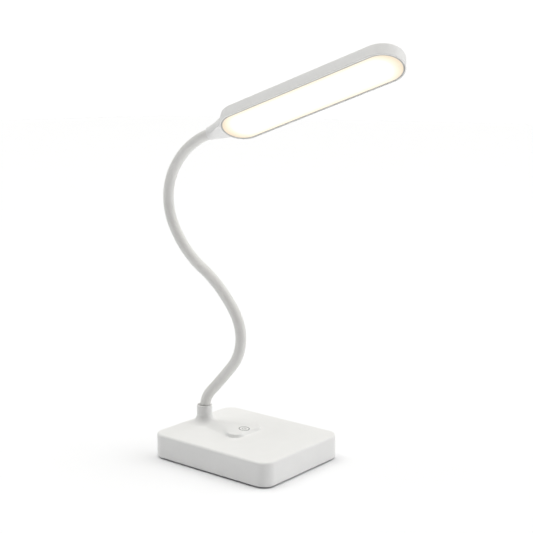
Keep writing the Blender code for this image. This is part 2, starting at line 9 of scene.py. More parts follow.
import bmesh
import bpy
import numpy as np
from mathutils import Euler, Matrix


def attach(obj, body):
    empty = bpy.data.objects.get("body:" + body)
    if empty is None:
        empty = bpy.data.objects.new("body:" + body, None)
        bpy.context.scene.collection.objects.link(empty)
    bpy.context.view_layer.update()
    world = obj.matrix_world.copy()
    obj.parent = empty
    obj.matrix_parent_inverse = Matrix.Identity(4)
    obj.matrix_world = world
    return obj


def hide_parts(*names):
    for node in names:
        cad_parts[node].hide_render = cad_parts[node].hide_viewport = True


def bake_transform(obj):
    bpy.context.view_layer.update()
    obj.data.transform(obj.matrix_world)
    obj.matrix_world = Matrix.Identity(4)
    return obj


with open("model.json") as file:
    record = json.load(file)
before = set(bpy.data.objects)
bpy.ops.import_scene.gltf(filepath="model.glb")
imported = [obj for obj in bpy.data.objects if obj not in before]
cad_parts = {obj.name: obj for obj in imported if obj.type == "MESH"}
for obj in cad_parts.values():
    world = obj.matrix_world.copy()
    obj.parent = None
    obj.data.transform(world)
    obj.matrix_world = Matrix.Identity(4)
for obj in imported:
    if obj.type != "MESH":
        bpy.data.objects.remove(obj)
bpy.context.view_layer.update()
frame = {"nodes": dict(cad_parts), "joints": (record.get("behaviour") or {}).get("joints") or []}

nodes = frame["nodes"]

# ---------------------------------------------------------------------------------------------
# Non-slip pad. A sheet of dark grey silicone rubber glued under the base, set in from the edge so
# that only its shadow shows. Its outer face is lightly sand-textured by the mould. Its near-black
# colour is partly the rubber's own dark grey and partly painted shade, which darkens the gap under the
# walls.


def finish(name, colour, roughness, grain, depth, shade=0.02, metal=0.0):
    """A moulded or machined surface. Fine noise gives the grain's bump and roughness, and a noise
    forty times coarser drifts the colour by the given share. Grain and depth are millimetres."""
    made = bpy.data.materials.new(name)
    made.use_nodes = True
    tree = made.node_tree
    shader = tree.nodes["Principled BSDF"]
    shader.inputs["Metallic"].default_value = metal
    place = tree.nodes.new("ShaderNodeTexCoord")
    fine = tree.nodes.new("ShaderNodeTexNoise")
    fine.inputs["Scale"].default_value = 1000 / grain
    fine.inputs["Detail"].default_value = 3.0
    coarse = tree.nodes.new("ShaderNodeTexNoise")
    coarse.inputs["Scale"].default_value = 25 / grain
    tree.links.new(place.outputs["Object"], fine.inputs["Vector"])
    tree.links.new(place.outputs["Object"], coarse.inputs["Vector"])
    drift = tree.nodes.new("ShaderNodeValToRGB")
    drift.color_ramp.elements[0].position = 0.3
    drift.color_ramp.elements[1].position = 0.7
    drift.color_ramp.elements[0].color = (*[c * (1 - shade) for c in colour], 1)
    drift.color_ramp.elements[1].color = (*[min(1.0, c * (1 + shade)) for c in colour], 1)
    tree.links.new(coarse.outputs["Fac"], drift.inputs["Fac"])
    tree.links.new(drift.outputs["Color"], shader.inputs["Base Color"])
    gloss = tree.nodes.new("ShaderNodeMapRange")
    gloss.inputs["From Min"].default_value = 0.3
    gloss.inputs["From Max"].default_value = 0.7
    gloss.inputs["To Min"].default_value = roughness * 0.9
    gloss.inputs["To Max"].default_value = min(1.0, roughness * 1.1)
    tree.links.new(fine.outputs["Fac"], gloss.inputs["Value"])
    tree.links.new(gloss.outputs["Result"], shader.inputs["Roughness"])
    bump = tree.nodes.new("ShaderNodeBump")
    bump.inputs["Distance"].default_value = depth / 1000
    bump.inputs["Strength"].default_value = 0.6
    tree.links.new(fine.outputs["Fac"], bump.inputs["Height"])
    tree.links.new(bump.outputs["Normal"], shader.inputs["Normal"])
    return made


def dress(material, *names):
    """Gives the named frame pieces one finish."""
    for name in names:
        for held in nodes[name].material_slots:
            held.material = material


# The pad's near-black colour is partly the rubber's own and partly painted shade for the dark gap under
# the shell's walls.
dress(finish("pad_rubber_and_painted_shade", (0.035, 0.035, 0.037), 0.85, 0.5, 0.06), "base_pad")

# ---------------------------------------------------------------------------------------------
# Bottom plate and its four screws. The plate is the same white ABS as the shell and closes it from
# below. The screws are zinc-plated pan heads sunk in counterbores under the pad.

dress(finish("plate_abs", (0.78, 0.78, 0.765), 0.5, 0.35, 0.015), "base_plate")
zinc = finish("zinc_plate", (0.62, 0.62, 0.63), 0.32, 0.25, 0.01, 0.06, 1.0)
dress(zinc, *[f"base_screw_{n}" for n in range(1, 5)])

# ---------------------------------------------------------------------------------------------
# Counterweight. A sheared and zinc-plated steel slab that keeps the lamp from tipping with its head
# out in front. Two screws hold it down on the plate.

dress(finish("weight_steel", (0.50, 0.50, 0.50), 0.42, 0.6, 0.03, 0.08, 1.0), "counterweight")
dress(zinc, "weight_screw_1", "weight_screw_2")

# ---------------------------------------------------------------------------------------------
# Battery. A lithium pouch cell in silver laminate film, stuck on a strip of dark foam on top of the
# weight, with a thin two-core lead to the board.

dress(finish("foam_cells", (0.11, 0.11, 0.12), 0.95, 0.9, 0.25, 0.15), "battery_foam_pad")
dress(finish("pouch_film", (0.60, 0.61, 0.63), 0.33, 1.6, 0.05, 0.05, 0.6), "battery_cell")
dress(finish("lead_jacket", (0.74, 0.74, 0.72), 0.5, 0.3, 0.01), "battery_lead", "touch_lead")

# ---------------------------------------------------------------------------------------------
# Main board, its two screws and the charging socket. A green glass-epoxy board with its driver
# chip and coil, and a drawn-steel USB-C socket that looks out of the back of the base.

dress(finish("board_resist", (0.03, 0.17, 0.075), 0.38, 0.8, 0.02, 0.12), "main_board")
dress(zinc, "board_screw_1", "board_screw_2")
dress(finish("socket_steel", (0.66, 0.66, 0.67), 0.28, 0.3, 0.005, 0.04, 1.0), "usb_c_socket")

# ---------------------------------------------------------------------------------------------
# Touch electrode. A disc of copper foil stuck under the shell behind the printed ring, which senses
# a finger through the plastic.

dress(finish("copper_foil", (0.80, 0.42, 0.28), 0.34, 0.5, 0.01, 0.08, 1.0), "touch_electrode")

# ---------------------------------------------------------------------------------------------
# Base shell. One injection moulding in fine-textured white ABS: a slab with round corners, a collar
# near one short side that sweeps into the top, and a low tongue in front of it.
# It is drawn as closed loops round the collar's axis, from the bore over the rim and out and under.

MM = 0.001
LENGTH, WIDTH, TOP, CORNER = 140.0, 112.5, 24.0, 12.8
EDGE = 2.2                 # rounding of the top edge
FOOT = 1.2                 # height of the walls' lower edge over the table
WALL = 2.2
COLLAR_X = -53.2
COLLAR_TOP = 41.8
COLLAR_RADIUS, COLLAR_BORE = 7.5, 6.4
FLARE = 8.6                # radius of the hollow sweep at the collar's foot
SEAT_BOTTOM, SEAT_TOP = 18.9, 23.7         # the collar's floor, which the neck is bolted to
SEAT_RADIUS, SEAT_HOLE = 9.1, 4.4
TONGUE_FRONT = 59.2        # from the collar's axis
TONGUE_BACK = 10.0         # half width at the collar
TONGUE_SIDE = 0.2111       # that each side spreads per unit of length
TONGUE_SIDE_REACH = 16.0   # from its edge to where it is highest
TONGUE_RISE = 3.0
TONGUE_CROWN = 0.8         # that its middle stands higher than its edges
TONGUE_CORNER = 11.0
CRISP_EDGE = 1.3           # width of the slope round the tongue at its front corners
SOFT_SIDE = (8.5, 34, 14)  # how much wider it is beside the collar, where it narrows, and over what
SOFT_FRONT = (2.6, 5, 9)   # the same for the middle of the front, outward from the middle line
TONGUE_START = (-4, 12)    # where the tongue comes up out of the collar, and over what length
PORT_HALF, PORT_ROUND, PORT_Z = 2.9, 2.0, 10.7
BOSS_RADIUS, BOSS_HOLE, BOSS_IN, BOSS_BOTTOM = 3.6, 1.5, 11.5, 3.5


def smooth(t):
    """Zero below 0 and one above 1, with a cubic ease between."""
    t = np.clip(t, 0, 1)
    return t * t * (3 - 2 * t)


def bridged(index, closed=False):
    """Quads between neighbouring rows of a grid of point numbers whose columns close on themselves, and
    from its last row to its first too if it is closed."""
    if closed:
        index = np.concatenate([index, index[:1]])
    on = np.roll(index, -1, 1)
    return np.stack([index[:-1], on[:-1], on[1:], index[1:]], -1)


def add_piece(name, points, quads, material, sharp=40, keep=False):
    """A closed mesh from points in millimetres and quads. Coincident points are merged, faces that
    shrink to nothing go, and the rest are turned outward."""
    mesh = bpy.data.meshes.new(name)
    quads = np.asarray(quads).reshape(-1, 4)
    mesh.from_pydata((np.asarray(points).reshape(-1, 3) * MM).tolist(), [], quads.tolist())
    work = bmesh.new()
    work.from_mesh(mesh)
    if not keep:
        bmesh.ops.remove_doubles(work, verts=work.verts, dist=2e-6)
        bmesh.ops.dissolve_degenerate(work, edges=work.edges, dist=1e-7)
    bmesh.ops.recalc_face_normals(work, faces=work.faces)
    work.to_mesh(mesh)
    work.free()
    mesh.materials.append(material)
    mesh.shade_smooth()
    mesh.set_sharp_from_angle(angle=math.radians(sharp))
    made = bpy.data.objects.new(name, mesh)
    bpy.context.scene.collection.objects.link(made)
    return made


# Half of the rays' headings from the collar's axis, closest together along the tongue's side
half = np.concatenate([
    np.arange(0, 15, 1.5), [15, 16, 17, 17.8, 18.5, 19.1, 19.5, 19.8, 20.1, 20.3, 20.5, 20.7, 20.9, 21.2,
                            21.5, 21.9, 22.3, 22.8, 23.4, 24, 24.7, 25.4, 26.2, 27], np.arange(29, 53, 3),
    np.arange(53, 92, 3.9), np.arange(92, 116, 1.6), np.arange(118, 156, 3.8), np.linspace(156, 180, 9)])
side_ray = 20.5            # the heading that follows the tongue's side
heading = np.radians(np.concatenate([half, 360 - half[-2:0:-1]]))
rays = len(heading)

# The loops' distances from the collar's axis, closest together round the tongue's front. The sides of
# the tongue pull the rays round near the collar.
steps = np.concatenate([
    COLLAR_RADIUS + FLARE * (1 - np.cos(np.radians(np.arange(0, 90, 6)))),
    np.arange(16.1, 49, 1.2), np.arange(49, 66, 0.4), np.arange(66.5, 129, 4.5), [130.0]])


def side_heading(reach):
    """The heading of the point on the tongue's side at a distance from the collar's axis."""
    slope = TONGUE_SIDE
    last = TONGUE_BACK / (math.tan(math.radians(side_ray)) - slope)
    reach = np.clip(reach, 14.0, math.hypot(last, TONGUE_BACK + slope * last))
    a, b, c = 1 + slope ** 2, 2 * slope * TONGUE_BACK, TONGUE_BACK ** 2 - reach ** 2
    along = (-b + np.sqrt(b * b - 4 * a * c)) / (2 * a)
    return np.arctan2(TONGUE_BACK + slope * along, along)


def bent(angles, reach):
    """Headings as they run at a reach: the ones inside the side ray share out the room inside the
    tongue's side, and the rest share out what is left."""
    angles = (angles + np.pi) % (2 * np.pi) - np.pi
    size, end, now = np.abs(angles), np.radians(side_ray), side_heading(reach)
    inner = size / end * now
    outer = now + (np.pi - now) * (size - end) / (np.pi - end)
    return np.sign(angles) * np.where(size < end, inner, outer)


def outline_reach(angles, inset):
    """How far the shell's outline, drawn in by the inset, lies from the collar's axis along headings.
    The straight sides give a first distance, and where that falls in a corner, the corner's circle."""
    way = np.stack([np.cos(angles), np.sin(angles)], -1)
    half_size = np.array([LENGTH / 2 - inset, WIDTH / 2 - inset])
    start = np.array([COLLAR_X, 0.0])
    with np.errstate(divide="ignore", invalid="ignore"):
        reach = np.min(np.where(np.abs(way) > 1e-9, (np.sign(way) * half_size - start) / way, 1e9), -1)
    middle = np.sign(way) * (half_size - (CORNER - inset))
    radius = CORNER - inset
    rel = start - middle
    b = np.sum(rel * way, -1)
    c = np.sum(rel * rel, -1) - radius ** 2
    far = -b + np.sqrt(np.maximum(b * b - c, 0))
    there = start + way * reach[:, None]
    in_corner = np.all(np.abs(there) > np.abs(middle) + 1e-9, -1)
    return np.where(in_corner, far, reach)


def top_height(x, y):
    """Height over the flat top: the collar's hollow sweep and the tongue, joined as the root of the
    sum of their squares, so that one runs softly into the other."""
    along = x - COLLAR_X
    reach = np.hypot(along, y)
    fall = np.clip(COLLAR_RADIUS + FLARE - reach, 0, FLARE)
    sweep = FLARE - np.sqrt(np.maximum(FLARE ** 2 - fall ** 2, 0))
    front = along - TONGUE_FRONT + TONGUE_CORNER
    side = (np.abs(y) - TONGUE_BACK - TONGUE_SIDE * along) / math.hypot(1, TONGUE_SIDE) + TONGUE_CORNER
    outside = (np.minimum(np.maximum(front, side), 0)
               + np.hypot(np.maximum(front, 0), np.maximum(side, 0)) - TONGUE_CORNER)
    soft = CRISP_EDGE
    for (wider, begins, length), place in ((SOFT_SIDE, along), (SOFT_FRONT, np.abs(y))):
        soft = soft + wider * (1 - smooth((place - begins) / length))
    rise = TONGUE_RISE * smooth(-outside / soft) + TONGUE_CROWN * smooth(-outside / TONGUE_SIDE_REACH)
    rise = rise * smooth((along - TONGUE_START[0]) / TONGUE_START[1])
    return np.sqrt(sweep ** 2 + rise ** 2)


end_reach = outline_reach(heading, EDGE)
side_end = outline_reach(np.radians([side_ray]), EDGE)[0]
share = (end_reach - COLLAR_RADIUS) / (side_end - COLLAR_RADIUS)
spread = (steps - COLLAR_RADIUS) * (side_end - COLLAR_RADIUS) / (steps[-1] - COLLAR_RADIUS)
loops = []
for gone in spread:
    ray = bent(heading, COLLAR_RADIUS + gone)
    reach = COLLAR_RADIUS + gone * share
    x, y = COLLAR_X + reach * np.cos(ray), reach * np.sin(ray)
    loops.append(np.stack([x, y, TOP + top_height(x, y)], -1))
collar_ray = bent(heading, COLLAR_RADIUS)


def collar_loop(radius, z):
    """A circle about the collar's axis, with a point on each ray."""
    return np.stack([COLLAR_X + radius * np.cos(collar_ray), radius * np.sin(collar_ray),
                     np.broadcast_to(z, collar_ray.shape)], -1)


rim = loops[-1]
core = np.clip(rim[:, :2], [-(LENGTH / 2 - CORNER), -(WIDTH / 2 - CORNER)],
               [LENGTH / 2 - CORNER, WIDTH / 2 - CORNER])
normal = (rim[:, :2] - core) / np.linalg.norm(rim[:, :2] - core, axis=1)[:, None]


def wall_loop(inset, z):
    """The outline drawn in by an inset, at one height."""
    flat = rim[:, :2] + normal * (EDGE - inset)
    return np.concatenate([flat, np.broadcast_to(z, (rays, 1))], 1)


edge_loops = []
for a in np.radians(np.arange(80, -1, -10)):
    lip = (rim[:, 2:] - TOP) * math.sin(a) ** 2
    edge_loops.append(wall_loop(EDGE * (1 - math.cos(a)), TOP + lip - EDGE * (1 - math.sin(a))))
port_rows = np.array([15.0, 13.9, 12.8, 11.75, 10.7, 9.65, 8.6, 7.5, 6.4])
outer_walls = [wall_loop(0, z) for z in (19.5, 17.0, *port_rows, 4.8, 3.2, 2.6)]
under = [wall_loop(i, z) for i, z in ((0.0, 2.25), (0.15, 1.95), (0.5, 1.75), (1.3, FOOT),
                                      (WALL - 0.4, FOOT), (WALL, 1.6))]
inner_walls = [wall_loop(WALL, z) for z in (2.6, 3.8, 5.0, *port_rows[::-1], 17.0, 19.5, 21.2)]
ceiling = [wall_loop(WALL + 0.6, TOP - WALL)]
seat = collar_loop(SEAT_RADIUS, TOP - WALL)
ceiling += [ceiling[0] * (1 - t) + seat * t for t in (0.33, 0.66, 1.0)]
bore = [collar_loop(r, z) for r, z in (
    (SEAT_RADIUS, SEAT_BOTTOM), (SEAT_HOLE, SEAT_BOTTOM), (SEAT_HOLE, SEAT_TOP), (COLLAR_BORE, SEAT_TOP),
    (COLLAR_BORE, 30.0), (COLLAR_BORE, 41.3), (6.52, 41.65), (6.75, COLLAR_TOP), (7.05, COLLAR_TOP),
    (7.35, 41.6), (COLLAR_RADIUS, 41.2), (COLLAR_RADIUS, 38.5), (COLLAR_RADIUS, 36.0),
    (COLLAR_RADIUS, 34.0))]
rounds = [*bore, *loops, *edge_loops, *outer_walls, *under, *inner_walls, *ceiling]
rows = len(rounds)
points = np.concatenate(rounds)
index = np.arange(rows * rays).reshape(rows, rays)
quads = bridged(index, closed=True)

# The charging slot: the grid is opened at the back, outside and inside, and ringed to the slot
left = int(np.argmin(np.abs(heading - np.radians(156))))
right = int(np.argmin(np.abs(heading - np.radians(204))))
outer_first = len(bore) + len(loops) + len(edge_loops) + 2
inner_first = len(bore) + len(loops) + len(edge_loops) + len(outer_walls) + len(under) + 3
deep = len(port_rows) - 1


def block_border(first):
    """The points round the opened block, walked round once."""
    column, row = np.arange(left, right + 1), np.arange(first, first + deep + 1)
    return np.concatenate([index[first, column[:-1]], index[row[:-1], right],
                           index[first + deep, column[:0:-1]], index[row[:0:-1], left]])


keep = np.ones((rows, rays), bool)
keep[outer_first:outer_first + deep, left:right] = False
keep[inner_first:inner_first + deep, left:right] = False
outer_border, inner_border = block_border(outer_first), block_border(inner_first)
inner_border = np.concatenate([inner_border[:1], inner_border[:0:-1]])
across = points[outer_border, 1]
high = points[outer_border, 2] - PORT_Z


def slot_ring(grow, x):
    """The slot's rim seen from the border: each border point is carried to the slot's core line and
    back out by its round end's radius."""
    core_y = np.clip(across * 0.55, -PORT_HALF, PORT_HALF)
    way = np.stack([across - core_y, high], -1)
    way /= np.linalg.norm(way, axis=1)[:, None]
    rim_yz = np.stack([core_y, 0 * core_y], -1) + (PORT_ROUND + grow) * way
    return np.stack([np.full(len(rim_yz), x), rim_yz[:, 0], rim_yz[:, 1] + PORT_Z], -1)


back = -LENGTH / 2
port_rings = [slot_ring(grow, back + depth) for grow, depth in (
    (1.0, 0), (0.35, 0), (0.1, 0.12), (0.0, 0.4), (0.0, WALL - 0.1), (0.1, WALL), (0.9, WALL))]
count = len(outer_border)
ring_index = len(points) + np.arange(len(port_rings) * count).reshape(-1, count)
points = np.concatenate([points, *port_rings])
# the inner border is walked the other way round, so it is matched to the outer one by place
match = np.argmin(np.linalg.norm(points[outer_border][:, None, 1:] - points[inner_border][None, :, 1:],
                                 axis=2), axis=1)
port_quads = bridged(np.concatenate([outer_border[None], ring_index, inner_border[match][None]]))


def turned_rings(profile, x, y, sides=24):
    """Points and quads of a closed profile of (radius, height) pairs turned about an upright axis."""
    turn = np.linspace(0, 2 * np.pi, sides, endpoint=False)
    radius, height = np.array(profile).T
    made = np.stack([x + radius[:, None] * np.cos(turn), y + radius[:, None] * np.sin(turn),
                     height[:, None] + 0 * turn], -1)
    at = np.arange(made[..., 0].size).reshape(len(radius), sides)
    return made.reshape(-1, 3), bridged(at, closed=True).reshape(-1, 4)


boss_top = TOP - WALL + 0.3
boss_profile = [(BOSS_HOLE, BOSS_BOTTOM), (BOSS_RADIUS, BOSS_BOTTOM), (BOSS_RADIUS, boss_top),
                (BOSS_HOLE, boss_top)]
all_points, all_quads = [points], [quads[keep], port_quads.reshape(-1, 4)]
total = len(points)
for sx, sy in ((-1, -1), (-1, 1), (1, -1), (1, 1)):
    boss_points, boss_quads = turned_rings(
        boss_profile, sx * (LENGTH / 2 - BOSS_IN), sy * (WIDTH / 2 - BOSS_IN))
    all_quads.append(boss_quads + total)
    all_points.append(boss_points)
    total += len(boss_points)

shell_abs = finish("shell_abs", (0.84, 0.84, 0.835), 0.55, 0.35, 0.012, 0.008)
shell = add_piece("base_shell_moulded", np.concatenate(all_points), np.concatenate(all_quads),
                  shell_abs, 50)
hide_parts("base_shell")
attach(shell, "base")

# ---------------------------------------------------------------------------------------------
# Touch print. A thin ring and a generic on-off mark in it, pad-printed in mid grey ink on the
# tongue. The ink stands less than a tenth over the plastic, and follows the tongue's crown.

RING_X = -2.5
RING_OUT, RING_IN = 5.2, 4.5
INK = 0.08
MARK_OUT, MARK_IN = 2.15, 1.75
MARK_GAP = 40.0            # half of the arc's opening, in degrees
BAR = (0.2, 2.5)           # the bar's two ends, from the ring's middle
BAR_HALF = 0.2


def ribbon(outer, inner):
    """The four lines of a thin closed ribbon between two matched lines, as far over the plastic as the
    ink is thick and as far under it."""
    def over(line, rise):
        height = TOP + top_height(line[:, :1], line[:, 1:]) + rise
        return np.concatenate([line, height], 1)

    return np.stack([over(outer, -INK), over(inner, -INK), over(inner, INK), over(outer, INK)], 1)


def band(outer, inner, closed):
    """Points and quads of a ribbon carried along its length, with its ends closed if it is open."""
    section = ribbon(outer, inner)
    n = len(section)
    at = np.arange(n * 4).reshape(n, 4)
    made = bridged(at, closed).reshape(-1, 4)
    if not closed:
        made = np.concatenate([made, at[:1], at[-1:, ::-1]])
    return section.reshape(-1, 3), made


def circle(radius, start, end, count, closed=False):
    """Points of an arc about the ring's middle, between two angles in degrees."""
    turn = np.radians(np.linspace(start, end, count, endpoint=not closed))
    return np.stack([RING_X + radius * np.cos(turn), radius * np.sin(turn)], -1)


print_grey = finish("print_ink", (0.19, 0.19, 0.195), 0.6, 0.12, 0.004, 0.06)
ring_points, ring_quads = band(circle(RING_OUT, 0, 360, 96, True), circle(RING_IN, 0, 360, 96, True),
                               True)
ring = add_piece("touch_ring_print", ring_points, ring_quads, print_grey, keep=True)
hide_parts("touch_ring")
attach(ring, "base")

arc_points, arc_quads = band(circle(MARK_OUT, MARK_GAP, 360 - MARK_GAP, 56),
                             circle(MARK_IN, MARK_GAP, 360 - MARK_GAP, 56), False)
bar_line = np.linspace(RING_X + BAR[0], RING_X + BAR[1], 8)
bar_points, bar_quads = band(np.stack([bar_line, np.full(len(bar_line), BAR_HALF)], -1),
                             np.stack([bar_line, np.full(len(bar_line), -BAR_HALF)], -1), False)
mark = add_piece("touch_mark_print", np.concatenate([arc_points, bar_points]),
                 np.concatenate([arc_quads, bar_quads + len(arc_points)]), print_grey,
                 keep=True)
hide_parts("touch_mark")
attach(mark, "base")

# ---------------------------------------------------------------------------------------------
# Ferrules and nut. Turned brass: one ferrule is crimped on the hose's lower end and drawn down on
# the collar's floor by a hexagon nut, the other is bonded in the head's socket.

dress(finish("turned_brass", (0.72, 0.52, 0.25), 0.27, 0.4, 0.01, 0.05, 1.0), "base_ferrule",
      "ferrule_nut", "head_ferrule")

# ---------------------------------------------------------------------------------------------
# Hose and cable. The hose is interlocked spring-steel wire, whose friction holds the neck's bend,
# and the lamp's two-core cable runs in its bore from the board to the LEDs.

stretches = ["root", *[str(n) for n in range(1, 7)], "tip"]
dress(finish("hose_steel", (0.46, 0.46, 0.47), 0.36, 0.9, 0.12, 0.1, 1.0),
      *[f"neck_core_{s}" for s in stretches])
dress(finish("cable_jacket", (0.74, 0.74, 0.72), 0.5, 0.3, 0.01), *[f"lamp_cable_{s}" for s in stretches])

# ---------------------------------------------------------------------------------------------
# Gooseneck sleeve. One extruded tube of matt white silicone drawn over the hose, from inside the
# collar to inside the head's socket.
# It is drawn in seven stretches that meet in the middle of the links, one for each joint.

SLEEVE_RADIUS, SLEEVE_BORE = 5.1, 4.6
SLEEVE_SIDES, SLEEVE_STEP = 40, 1.1
LINKS = 6
NECK_LENGTH = 335.2        # between the first joint and the last
SLEEVE_START = 25.9        # height of its lower end
LEAN_LENGTH = 9.5          # over which the neck starts to lean, inside the collar
LEAN_STRAIGHT = 1.5643     # from the lean's end to the first joint
TIP_LENGTH = 10.0          # from the last joint into the head's socket
# the neck's angle up from the table, and its yaw, in degrees at shares of its length
NECK_BENDS = ((0.0, 78.0), (0.045, 44.6), (0.167, 48.8), (0.333, 124.0), (0.5, 149.4), (0.667, 117.7),
              (0.833, 57.5), (1.0, 19.7))
NECK_YAW = ((0.0, 0.0), (0.667, 0.0), (0.833, -3.0), (1.0, 7.5))
BEND_REACH = (14.0, 20.0, 20.0, 20.0, 20.0, 20.0, 8.0)    # each way from a joint


def neck_ways(along):
    """The neck's direction at lengths from the first joint: upright in the collar, then leaning, then
    by straight interpolation of heading and yaw between the bends."""
    share = along / NECK_LENGTH
    bend = np.interp(share, *zip(*NECK_BENDS))
    lean = 90 + (NECK_BENDS[0][1] - 90) * np.clip(1 + (along + LEAN_STRAIGHT) / LEAN_LENGTH, 0, 1)
    up = np.radians(np.where(along < 0, lean, bend))
    yaw = np.radians(np.interp(share, *zip(*NECK_YAW)))
    return np.stack([np.cos(up) * np.cos(yaw), np.cos(up) * np.sin(yaw), np.sin(up)], -1)


first_joint = np.array(frame["joints"][0]["pos_m"]) / MM
below_lean = 30            # far enough down to pass the sleeve's lower end
fine = np.linspace(-LEAN_LENGTH - LEAN_STRAIGHT - below_lean, NECK_LENGTH + TIP_LENGTH, 8001)
fine_steps = neck_ways((fine[1:] + fine[:-1]) / 2) * np.diff(fine)[:, None]
fine_points = np.concatenate([np.zeros((1, 3)), np.cumsum(fine_steps, axis=0)])
at_joint = np.stack([np.interp(0.0, fine, fine_points[:, i]) for i in range(3)])
fine_points += first_joint - at_joint
start_along = float(np.interp(SLEEVE_START, fine_points[:400, 2], fine[:400]))


def neck_points(along):
    """Points of the neck's middle line at lengths from the first joint: the sum of its small steps."""
    return np.stack([np.interp(along, fine, fine_points[:, i]) for i in range(3)], -1)


silicone = finish("sleeve_silicone", (0.765, 0.76, 0.745), 0.58, 0.3, 0.015, 0.012)
silicone_shader = silicone.node_tree.nodes["Principled BSDF"]
silicone_shader.inputs["Sheen Weight"].default_value = 0.08
silicone_shader.inputs["Sheen Roughness"].default_value = 0.4
link = NECK_LENGTH / LINKS
ends = [start_along, *[(n + 0.5) * link for n in range(LINKS)], NECK_LENGTH + TIP_LENGTH]
turn = np.linspace(0, 2 * np.pi, SLEEVE_SIDES, endpoint=False)
for number in range(LINKS + 1):
    low, high = ends[number], ends[number + 1]
    along = np.linspace(low, high, int((high - low) / SLEEVE_STEP))
    line, way = neck_points(along), neck_ways(along)
    side = np.array([0.0, 1.0, 0.0]) - way * way[:, 1:2]
    side /= np.linalg.norm(side, axis=1)[:, None]
    other = np.cross(way, side)
    spokes = side[:, None] * np.cos(turn)[:, None] + other[:, None] * np.sin(turn)[:, None]
    outside = line[:, None] + SLEEVE_RADIUS * spokes
    inside = line[:, None] + SLEEVE_BORE * spokes
    grid = np.concatenate([outside, inside[::-1]])
    at = np.arange(grid[..., 0].size).reshape(len(grid), SLEEVE_SIDES)
    piece = add_piece(f"neck_sleeve_stretch_{number + 1}", grid, bridged(at, closed=True), silicone,
                      keep=True)
    taken = {0: ["neck_sleeve_root", "neck_sleeve_1"], 6: ["neck_sleeve_tip"]}.get(
        number, [f"neck_sleeve_{number + 1}"])
    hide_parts(*taken)
    reach = BEND_REACH[number]
    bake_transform(piece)

# ---------------------------------------------------------------------------------------------
# Head housing. One white ABS moulding: a slim capsule-shaped tray, open towards the light's face,
# whose round end is drawn out into a socket for the neck.
# It is drawn as closed loops round the capsule, and the socket as rings from an opened block of them.

HEAD_LENGTH, HEAD_HALF = 188.6, 20.35
FACE, BACK = -7.0, 5.2     # the light's face and the head's back, from the neck's line
HEAD_EDGE = 1.8            # rounding of the back's edge
LIP = 1.2                  # thickness of the side wall
BACK_WALL = 1.6
MOUTH = 2.0                # of the socket, from the last joint
SOCKET_LENGTH = 18.2
SOCKET_RADIUS, SOCKET_BORE = 6.4, 5.5
SOCKET_FLOOR = 10.0
FERRULE_BORE, FERRULE_END = 4.4, 21.1
CABLE_BORE = 1.9
HEAD_TURN = (-33.1, -19.7, 7.5)
END_STEPS, SIDE_STEPS = 60, 30

last_joint = neck_points(NECK_LENGTH)
head_axes = np.array(Euler([math.radians(a) for a in HEAD_TURN], "XYZ").to_matrix())


def in_head(local):
    """Points in the head's own frame, carried to where the head is: x to its tip, the light to -z."""
    return np.asarray(local).reshape(-1, 3) @ head_axes.T + last_joint


left_middle = MOUTH + SOCKET_LENGTH + HEAD_HALF
right_middle = MOUTH + SOCKET_LENGTH + HEAD_LENGTH - HEAD_HALF
# the capsule's middle line and outward direction at each step: the socket end first, then round
end_turn = np.radians(90 + 180 * (np.arange(END_STEPS + 1)) / END_STEPS)
run = np.linspace(0, 1, SIDE_STEPS + 1)[1:-1]
middles = right_middle - left_middle
spine_x = np.concatenate([np.full(END_STEPS + 1, left_middle), left_middle + middles * run,
                          np.full(END_STEPS + 1, right_middle), right_middle - middles * run])
facing = np.concatenate([end_turn, np.full(SIDE_STEPS - 1, 1.5 * np.pi), end_turn + np.pi,
                         np.full(SIDE_STEPS - 1, 0.5 * np.pi)])
out = np.stack([np.cos(facing), np.sin(facing)], -1)
columns = len(spine_x)


def capsule_loop(inset, z):
    """The head's capsule outline drawn in by an inset, at one depth: its middle line plus its half width
    along the outward direction."""
    flat = np.stack([spine_x, np.zeros(columns)], -1) + (HEAD_HALF - inset) * out
    return np.concatenate([flat, np.full((columns, 1), z)], 1)


edge_turn = np.radians(np.arange(0, 91, 15))
back_loops = [capsule_loop(i, BACK) for i in (HEAD_HALF, 16.0, 12.0, 9.5, 8.0, 6.5, 5.0, 3.5)]
back_edge = [capsule_loop(HEAD_EDGE * (1 - math.sin(a)), BACK - HEAD_EDGE * (1 - math.cos(a)))
             for a in edge_turn]
walls = [capsule_loop(0, z) for z in (2.2, 1.0, -0.2, -1.4, -2.6, -3.8, -5.0, -6.0, -6.7)]
lips = [capsule_loop(i, z) for i, z in (
    (0.05, -6.88), (0.2, FACE), (0.95, FACE), (1.12, -6.94), (LIP, -6.8))]
inner = [capsule_loop(LIP, z) for z in np.arange(-6.0, 3.5, 1.0)]
inner_back = [capsule_loop(i, BACK - BACK_WALL) for i in (LIP + 0.5, 5.0, 9.0, 14.0, HEAD_HALF)]
head_rounds = [*back_loops, *back_edge, *walls, *lips, *inner, *inner_back]
head_rows = len(head_rounds)
head_points = np.concatenate(head_rounds)
head_index = np.arange(head_rows * columns).reshape(head_rows, columns)
head_quads = bridged(head_index)
head_keep = np.ones(head_quads.shape[:2], bool)


def opened(first, last, begin, finish_at):
    """Clears a block of the housing's grid and returns its border, walked round once."""
    head_keep[first:last, begin:finish_at] = False
    column, row = np.arange(begin, finish_at + 1), np.arange(first, last + 1)
    return np.concatenate([head_index[first, column[:-1]], head_index[row[:-1], finish_at],
                           head_index[last, column[:0:-1]], head_index[row[:0:-1], begin]])


FLARE_HALF = 12            # the flare's half width where it leaves the round end, in steps
socket_first = 5           # the loop on the back where it starts
socket_last = len(back_loops) + len(back_edge) + len(walls) - 3
begin, finish_at = END_STEPS // 2 - FLARE_HALF, END_STEPS // 2 + FLARE_HALF
border = opened(socket_first, socket_last, begin, finish_at)
border_column = border % columns
border_points = head_points[border]

